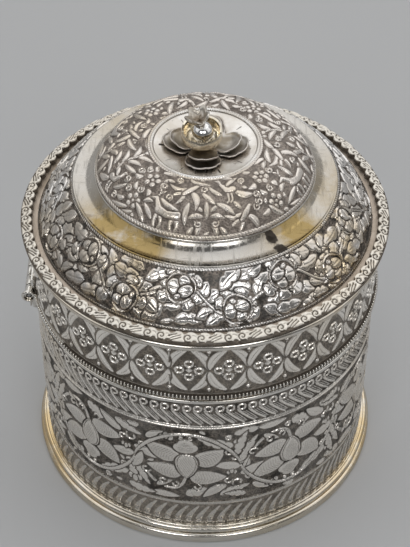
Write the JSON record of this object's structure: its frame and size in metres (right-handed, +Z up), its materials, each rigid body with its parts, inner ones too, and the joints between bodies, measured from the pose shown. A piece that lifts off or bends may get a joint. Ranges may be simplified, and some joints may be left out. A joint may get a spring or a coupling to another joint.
{
  "type": "round hinged-lid box",
  "caption": "Round silver box with a moulded foot, chased bands, a deep stepped lid on a barrel hinge and a petalled bud finial.",
  "frame": {"origin": "middle of the foot's underside, on the box's own axis", "axes": "+Z up along the box's axis, -X towards the hinge, Y along the hinge barrel"},
  "size_m": [0.1256, 0.1246, 0.1462],
  "materials": {
    "chased_silver": "chased in relief, oxidised dark in the hollows, worn bright on the high parts",
    "plain_silver": "polished with fine scratches and a light tarnish",
    "warm_silver": "polished, with a warm yellow tarnish",
    "white_silver": "chased, pale and matt",
    "petal_silver": "polished, with dark tarnish in the hollows",
    "inner_silver": "plain satin inside",
    "steel": "plain turned steel"
  },
  "bodies": {
    "body": {"body_wall": "chased_silver", "base_plate": "inner_silver", "foot_ring": "warm_silver", "foot_wire": "warm_silver", "mouth_wire": "plain_silver", "mouth_bezel": "inner_silver", "body_hinge_leaf": "plain_silver", "body_knuckle_1": "plain_silver", "body_knuckle_3": "plain_silver", "body_knuckle_5": "plain_silver", "hinge_pin": "steel", "hinge_collar_near": "plain_silver", "hinge_collar_far": "plain_silver"},
    "lid": {"lid_wall": "chased_silver", "lid_bead_wire": "plain_silver", "lid_rim_moulding": "plain_silver", "lid_brim": "chased_silver", "scroll_border": "white_silver", "lid_dome": "chased_silver", "lid_hinge_leaf": "plain_silver", "lid_knuckle_2": "plain_silver", "lid_knuckle_4": "plain_silver", "finial_lower_petals": "petal_silver", "finial_upper_petals": "petal_silver", "finial_calyx": "petal_silver", "finial_bud": "plain_silver", "finial_crown": "petal_silver", "finial_washer": "steel", "finial_nut": "steel", "finial_stud": "steel"}
  },
  "joints": [
    {"name": "lid_hinge", "type": "hinge", "parent": "body", "child": "lid", "pos_m": [-0.0607, 0, 0.0728], "axis": [0, -1, 0], "range_deg": [0, 105]}
  ]
}
